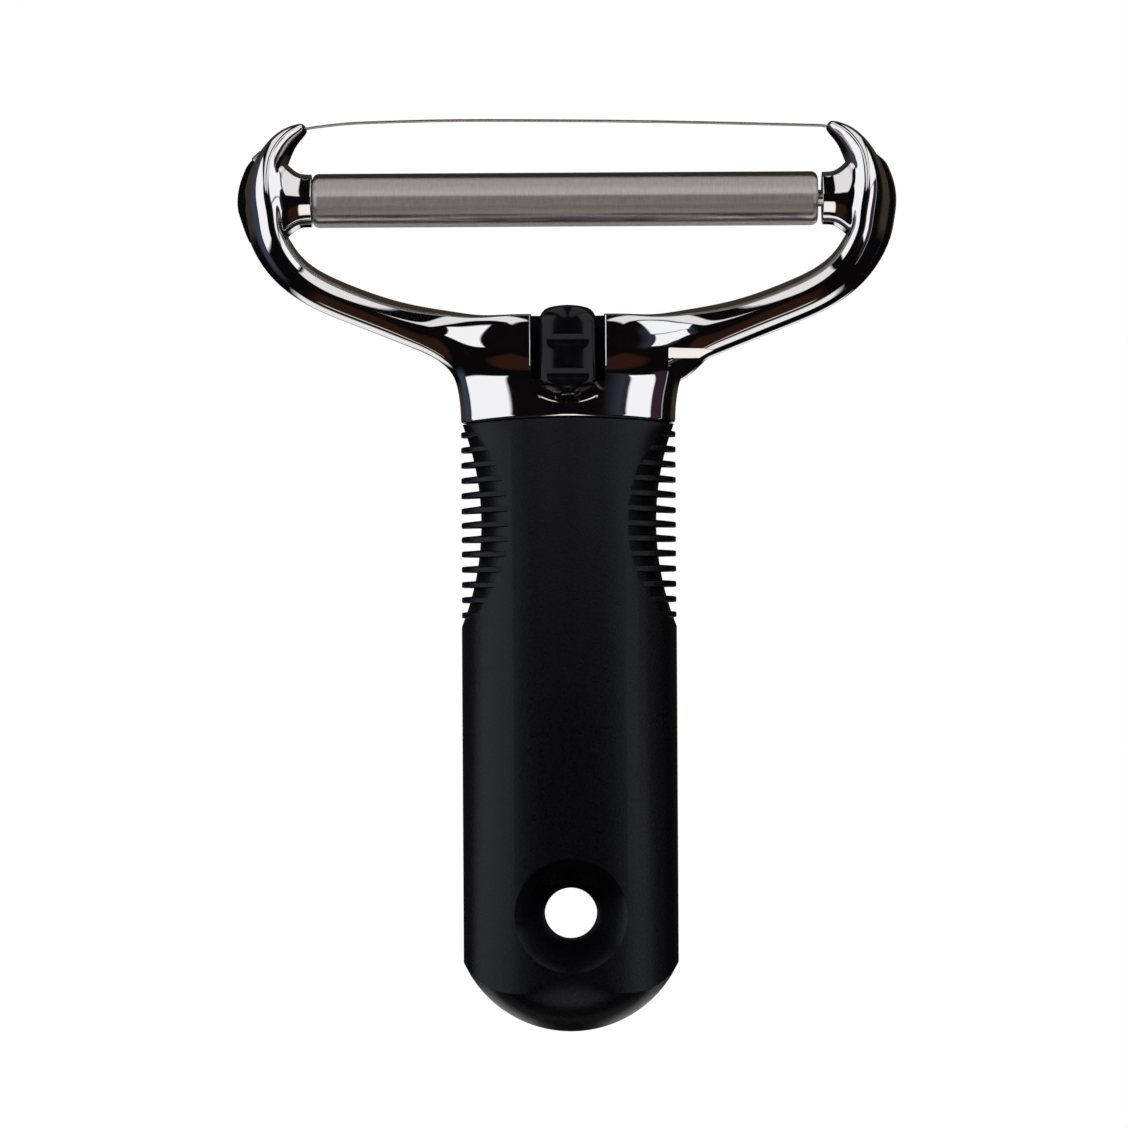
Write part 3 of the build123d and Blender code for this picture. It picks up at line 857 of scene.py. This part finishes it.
def slotTool():
    # the button's slot, open at the top, with a rounded mouth
    mesh = bmesh.new()
    half, arc = slot["halfWidth"], slot["arc"]
    turns = [math.asin(half / arc) * step / 8 for step in range(-8, 9)]
    points = [(arc * math.sin(t), slot["low"] + arc - arc * math.cos(t)) for t in turns]
    points += [(half, slot["high"]), (-half, slot["high"])]
    ring = [mesh.verts.new((x, slot["floor"], z)) for x, z in points]
    edges = [mesh.edges.new(pair) for pair in zip(ring, ring[1:] + ring[:1])]
    before = 0
    for y, grow in slot["mouth"]:
        verts, edges = newParts(bmesh.ops.extrude_edge_only(mesh, edges=edges))
        for vert in verts:
            atBottom = vert.co.z < slot["high"] - 1
            vert.co.x *= (half + grow) / (half + before)
            vert.co.y = y
            vert.co.z -= (grow - before) if atBottom else 0
        before = grow
    return capEnds(mesh)


def notchTool():
    # where the wire leaves the groove, with a sloped upper wall
    mesh = bmesh.new()
    (left, low), (right, high) = slot["notchRoom"]
    back, edge, front = slot["notchDepths"]
    outline = ((back, low), (back, high - 2.4), (edge, high), (front, high + 0.6), (front, low))
    ring = [mesh.verts.new((left, y, z)) for y, z in outline]
    face = mesh.faces.new(ring)
    made = bmesh.ops.extrude_face_region(mesh, geom=[face])
    bmesh.ops.translate(mesh, verts=newParts(made)[0], vec=(right - left, 0, 0))
    return mesh


def makeHead():
    cage, tag = headCage()
    addNeck(cage, tag)
    addBoss(cage, tag)
    bmesh.ops.mirror(cage, geom=cage.verts[:] + cage.edges[:] + cage.faces[:], merge_dist=0.001, axis="X")
    bmesh.ops.remove_doubles(cage, verts=cage.verts, dist=0.001)
    bmesh.ops.delete(cage, geom=[vert for vert in cage.verts if not vert.link_faces], context="VERTS")
    capEnds(cage)
    body = smoothed(cage, head["smooth"])
    capEnds(body)
    wide, deep, low, high = head["tang"]
    railEnd, pocketStart = groove["railEnd"], groove["pocketStart"]
    rail, channel, past = groove["rail"], groove["channel"], groove["past"]
    sinkRight, sinkLeft = groove["railSink"]
    tools = [
        ("UNION", armStrip(1, groove["railStart"], railEnd, *rail, sink=sinkRight)),
        ("UNION", armStrip(-1, pocketStart, railEnd, *rail, sink=sinkLeft)),
        ("UNION", drawnBlock((-wide / 2, -deep / 2, low), (wide / 2, deep / 2, high))),
        ("DIFFERENCE", armStrip(1, groove["channelStart"], armEnd, *channel, past)),
        ("DIFFERENCE", armStrip(-1, railEnd - 0.1, armEnd, *channel, past)),
        ("DIFFERENCE", armStrip(-1, pocketStart, railEnd, *groove["pocket"])),
        ("DIFFERENCE", slotTool()),
        ("DIFFERENCE", drawnBlock(*slot["sideRoom"])),
        ("DIFFERENCE", notchTool()),
        ("DIFFERENCE", drawnBlock(*slot["grooveRoom"])),
        ("DIFFERENCE", drawnRod(*slot["wireHole"])),
        ("DIFFERENCE", drawnRod(*slot["springBore"])),
        ("DIFFERENCE", drawnRod(*slot["stopHole"])),
    ]
    up, radius = head["bossUp"], head["holeRadius"]
    for start, end in head["axleHoles"]:
        tools.append(("DIFFERENCE", drawnRod((start, 0, up), (end, 0, up), radius)))
    for z in head["pinHoles"]:
        tools.append(("DIFFERENCE", drawnRod((0, -deep, z), (0, deep, z), radius)))
    body = joined(body, tools)
    bmesh.ops.scale(body, vec=(mm, mm, mm), verts=body.verts)
    return body


makeObject("headFrame", makeHead(), chrome, "frame", "chrome_plate", "head_frame")
print("head ready")


# Grip: an oval bar with a domed end, waisted and finned at the sides

grip = {
    "half": (19.35, 10.5),
    "top": 87.9,
    "arch": 1.0,
    "topEdge": 0.35,
    "low": -21.3,
    "rise": (12.5, 8.6),
    "corners": 160,
    "domeSteps": 16,
    "domeEdge": 1.6,
    # half width and half depth of its oval, middle height
    "waist": (15.75, 11.75, 70.15),
    "waistAxis": 65.6,
    "waistTurn": 27,
    "waistReach": 0.92,
    # from front to back, each way round its axis
    "waistSteps": (48, 24),
    "outside": 24,
    "fins": {"count": 13, "low": 53.71, "step": 2.74, "inset": 0.05},
    # how far in, how far up
    "finRings": (
        (3.6, -0.7),
        (0.5, -0.64),
        (0.14, -0.58),
        (0.0, -0.44),
        (0.0, 0.26),
        (0.12, 0.42),
        (0.5, 0.5),
        (3.6, 0.7),
    ),
    "finCorners": 112,
    "droop": 0.5,
    # left round the core: at the sides, front and back, and end
    "wall": (6.0, 3.35, 6.1),
    "coreRise": 0.7,
    "hole": 4.7,
    "bore": 3.4,
    "dish": 10.0,
    # beyond the dish, share of the way to the face, past it
    "dishLip": ((1.6, 1, 3.0), (0.5, 1, 0.35), (0.22, 1, 0.02), (0.0, 0.975, -0.02)),
    "dishShares": (0.8, 0.6, 0.4, 0.2, 0.06),
    "dishCorners": 96,
    "eye": 8.6,
}


def arcRise(off, half, rise):
    # how far an arc through its middle has risen at a distance from it
    radius = (half**2 + rise**2) / (2 * rise)
    return radius - math.sqrt(max(radius**2 - off**2, 0))


def ringSweep(rings, closed=True):
    # a tube through rings of points, each ring in the same order
    mesh = bmesh.new()
    verts = [mesh.verts.new(point) for point in rings[0]]
    edges = [mesh.edges.new(pair) for pair in zip(verts, verts[1:] + verts[:1])]
    before = rings[0]
    for ring in rings[1:]:
        verts, edges = newParts(bmesh.ops.extrude_edge_only(mesh, edges=edges))
        place = {tuple(round(part, 4) for part in old): new for old, new in zip(before, ring)}
        for vert in verts:
            vert.co = place[tuple(round(part, 4) for part in vert.co)]
        before = [Vector(point) for point in ring]
    return capEnds(mesh) if closed else mesh


def ovalRing(half, up, corners, inset=0.0):
    # up is a height, or gives one from across and deep
    ring = []
    for index in range(corners):
        turn = math.tau * index / corners
        x, y = (half[0] - inset) * math.cos(turn), (half[1] - inset) * math.sin(turn)
        ring.append(Vector((x, y, up(x, y) if callable(up) else up)))
    return ring


def ovalBar(half, top, low, rise, arch, edge):
    corners, steps = grip["corners"], grip["domeSteps"]

    def crown(x, y):
        return top + arch * (1 - (x / half[0]) ** 2)

    def dome(x, y):
        return low + arcRise(x, half[0], rise[0]) + arcRise(y, half[1], rise[1])

    rings = []
    if edge:
        rings.append(ovalRing(half, crown, corners, edge))
        rings.append(ovalRing(half, lambda x, y: crown(x, y) - 0.3 * edge, corners, 0.3 * edge))
    rings.append(ovalRing(half, lambda x, y: crown(x, y) - edge, corners))
    rings.append(ovalRing(half, lambda x, y: dome(x, y) + grip["domeEdge"], corners))
    for step in range(steps):
        share = 1 - step / steps
        rings.append(ovalRing((half[0] * share, half[1] * share), dome, corners))
    rings.append(ovalRing((half[0] * 0.02, half[1] * 0.02), dome, corners))
    return ringSweep(rings)


def waistTool(side):
    # the air beside the waist: a slice of a ring round a level axis
    wide, deep, up = grip["waist"]
    axis = Vector((grip["waistAxis"] * side, 0, up))
    reach, outside = deep * grip["waistReach"], grip["outside"] * side
    steps, half = grip["waistSteps"]
    points = []
    for step in range(steps + 1):
        y = -reach + 2 * reach * step / steps
        points.append(((wide * math.sqrt(1 - (y / deep) ** 2)) * side, y, up))
    points += [(outside, reach, up), (outside, -reach, up)]
    turns = [math.radians(step * grip["waistTurn"] / half) for step in range(-half, half + 1)]
    rings = []
    for turn in turns:
        spin = Matrix.Rotation(turn, 3, "Y")
        rings.append([axis + spin @ (Vector(point) - axis) for point in points])
    return ringSweep(rings)


def finTool(index):
    fins = grip["fins"]
    up = fins["low"] + fins["step"] * index
    fall = grip["droop"] * min(1, max(0, (index - 4) / 3))

    def level(height):
        return lambda x, y: up + height - fall * (abs(x) / grip["half"][0]) ** 3

    rings = []
    for inset, height in grip["finRings"]:
        rings.append(ovalRing(grip["half"], level(height), grip["finCorners"], inset + fins["inset"]))
    return ringSweep(rings)


def dishTool():
    # the hang hole, dished at both faces so that its edge is round from the front
    corners, dish, hole = grip["dishCorners"], grip["dish"], grip["hole"]

    def ring(radius, share, past=0.0):
        points = []
        for index in range(corners):
            turn = math.tau * index / corners
            face = grip["half"][1] * math.sqrt(1 - (dish * math.cos(turn) / grip["half"][0]) ** 2)
            y = grip["bore"] + (face - grip["bore"]) * share + past
            points.append(Vector((radius * math.cos(turn), -y, radius * math.sin(turn))))
        return points

    front = [ring(dish + beyond, share, past) for beyond, share, past in grip["dishLip"]]
    front += [ring(hole + 0.25 + (dish - hole - 0.25) * share, share) for share in grip["dishShares"]]
    front += [ring(hole + 0.1, 0.012), ring(hole, 0, -0.15)]
    back = [[Vector((point.x, -point.y, point.z)) for point in each] for each in reversed(front)]
    return ringSweep(front + back)


def coreTool():
    # the room for the stiff core, with a wall left round the hang hole
    side, front, end = grip["wall"]
    half = (grip["half"][0] - side, grip["half"][1] - front)
    rise = [part * grip["coreRise"] for part in grip["rise"]]
    room = ovalBar(half, grip["top"] + 4, grip["low"] + end, rise, 0.0, 0.0)
    far = grip["half"][1] + 5.5
    wall = drawnRod((0, -far, 0), (0, far, 0), grip["eye"], grip["dishCorners"])
    return joined(room, [("DIFFERENCE", wall)])


def makeGrip():
    body = ovalBar(grip["half"], grip["top"], grip["low"], grip["rise"], grip["arch"], grip["topEdge"])
    tools = [("DIFFERENCE", waistTool(1)), ("DIFFERENCE", waistTool(-1))]
    tools += [("UNION", finTool(index)) for index in range(grip["fins"]["count"])]
    tools += [("DIFFERENCE", coreTool()), ("DIFFERENCE", dishTool())]
    body = joined(body, tools)
    bmesh.ops.scale(body, vec=(mm, mm, mm), verts=body.verts)
    return body


makeObject("gripSleeve", makeGrip(), rubber, "frame", "soft_grip", "grip_sleeve", flatAngle=28)
print("grip ready")


# Button: a crowned plastic tab with a domed top, two scallops and side flanges

button = {
    "half": 5.2,
    "front": -10.64,
    "back": 1.85,
    "crown": 8.6,
    "side": 0.5,
    # how far in, how far back
    "corner": ((0.0, 1.1), (0.04, 0.65), (0.2, 0.28)),
    "top": 109.1,
    "topCurve": 15.0,
    "low": 94.1,
    "lowCurve": 10.8,
    # how far in, how far up from the lower end
    "lowRings": ((0.5, 0.0), (0.15, 0.15), (0.0, 0.5)),
    # how far in, how far down from the top
    "topRings": ((0.0, 2.6), (0.08, 1.8), (0.3, 1.05), (0.62, 0.55), (1.05, 0.2), (1.6, 0.03), (2.4, 0.0)),
    "scallop": (2.3, 0.9),
    "scallops": (102.5, 96.4),
    "flange": ((-7.45, -0.85, 96.0), (7.45, 1.85, 105.4)),
    "peg": ((0, 0.5, 91.1), (0, 0.5, 95.0), 1.1),
    "slit": (1.31, -0.35, 8.0, 101.94, 104.06),
    "hookRoom": ((3.5, -0.7, 88.0), (8.0, 8.0, 102.4)),
    "plateSeat": ((2.25, -0.55, 96.95), (9.5, 2.15, 97.85)),
}


def buttonOutline():
    # from the back's left corner, over the crowned front, to its right corner
    half, front, crown = button["half"], button["front"], button["crown"]
    steps = 36
    points = [(-half, button["back"])]
    edge = math.asin((half - button["side"]) / crown)
    for step in range(steps + 1):
        turn = edge * (2 * step / steps - 1)
        points.append((crown * math.sin(turn), front + crown - crown * math.cos(turn)))
    drop = points[1][1]
    corner = [(-half + inward, drop + back) for inward, back in button["corner"]]
    points[1:1] = corner
    points += [(-x, y) for x, y in reversed(corner)]
    points.append((half, button["back"]))
    return points


def buttonRing(inset, height):
    half = button["half"]
    ring = []
    for x, y in buttonOutline():
        x *= (half - inset) / half
        y = min(y + inset, button["back"])
        ring.append(Vector((x, y, height(x))))
    return ring


def makeButton():
    def top(x):
        return button["top"] - arcRise(x, button["topCurve"], button["topCurve"])

    def low(x):
        return button["low"] + arcRise(x, button["lowCurve"], button["lowCurve"])

    rings = [buttonRing(inset, lambda x, rise=rise: low(x) + rise) for inset, rise in button["lowRings"]]
    rings += [buttonRing(inset, lambda x, drop=drop: top(x) - drop) for inset, drop in button["topRings"]]
    body = ringSweep(rings)
    radius, deep = button["scallop"]
    x, back, far, low1, high1 = button["slit"]
    front = button["front"]
    tools = [
        ("UNION", drawnBlock(*button["flange"])),
        ("UNION", drawnRod(*button["peg"])),
        ("DIFFERENCE", drawnBlock((-x, back, low1), (x, far, high1))),
        ("DIFFERENCE", drawnRod((0, back, low1), (0, far, low1), x)),
        ("DIFFERENCE", drawnRod((0, back, high1), (0, far, high1), x)),
        ("DIFFERENCE", drawnBlock(*button["hookRoom"])),
        ("DIFFERENCE", drawnBlock(*button["plateSeat"])),
    ]
    for up in button["scallops"]:
        y = front - radius + deep
        tools.append(("DIFFERENCE", drawnRod((-9, y, up), (9, y, up), radius, 160)))
    body = joined(body, tools)
    bmesh.ops.scale(body, vec=(mm, mm, mm), verts=body.verts)
    return body


makeObject(
    "tensionButton", makeButton(), glossBlack, "button", "button_plastic", "tension_button", flatAngle=24
)
print("button ready")


# Roller: a thin tube with rounded ends, turned in at both mouths

roller = {"radius": 4.85, "wall": 0.8, "mouth": 2.3, "rounding": 1.2, "segments": 128}


def makeRoller():
    low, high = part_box("roller_tube")
    middle = (low + high) / 2
    radius, wall, mouth = roller["radius"] * mm, roller["wall"] * mm, roller["mouth"] * mm
    mesh = bmesh.new()
    turn = [
        (low.x, mouth),
        (low.x, radius),
        (high.x, radius),
        (high.x, mouth),
        (high.x - wall, mouth),
        (high.x - wall, radius - wall),
        (low.x + wall, radius - wall),
        (low.x + wall, mouth),
    ]
    ring = [mesh.verts.new((x, middle.y, middle.z + r)) for x, r in turn]
    edges = [mesh.edges.new((a, b)) for a, b in zip(ring, ring[1:] + ring[:1])]
    bmesh.ops.bevel(
        mesh,
        geom=[ring[1], ring[2]],
        affect="VERTICES",
        offset=roller["rounding"] * mm,
        segments=6,
        profile=0.5,
        material=-1,
    )
    bmesh.ops.spin(
        mesh,
        geom=mesh.verts[:] + mesh.edges[:],
        cent=middle,
        axis=(1, 0, 0),
        angle=math.tau,
        steps=roller["segments"],
        use_merge=True,
    )
    bmesh.ops.remove_doubles(mesh, verts=mesh.verts, dist=1e-6)
    bmesh.ops.recalc_face_normals(mesh, faces=mesh.faces)
    return mesh


makeObject("rollerTube", makeRoller(), brushedSteel, "roller", "brushed_steel", "roller_tube")
print("roller ready")


# Spring: the coil under the button, a merged copy of its CAD node


def makeSpring():
    coil = copyOf("tension_spring")
    piece = makeObject("tensionSpring", coil, plainSteel, "frame", "plain_steel", "tension_spring")
    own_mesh(piece)


makeSpring()
print("spring ready")
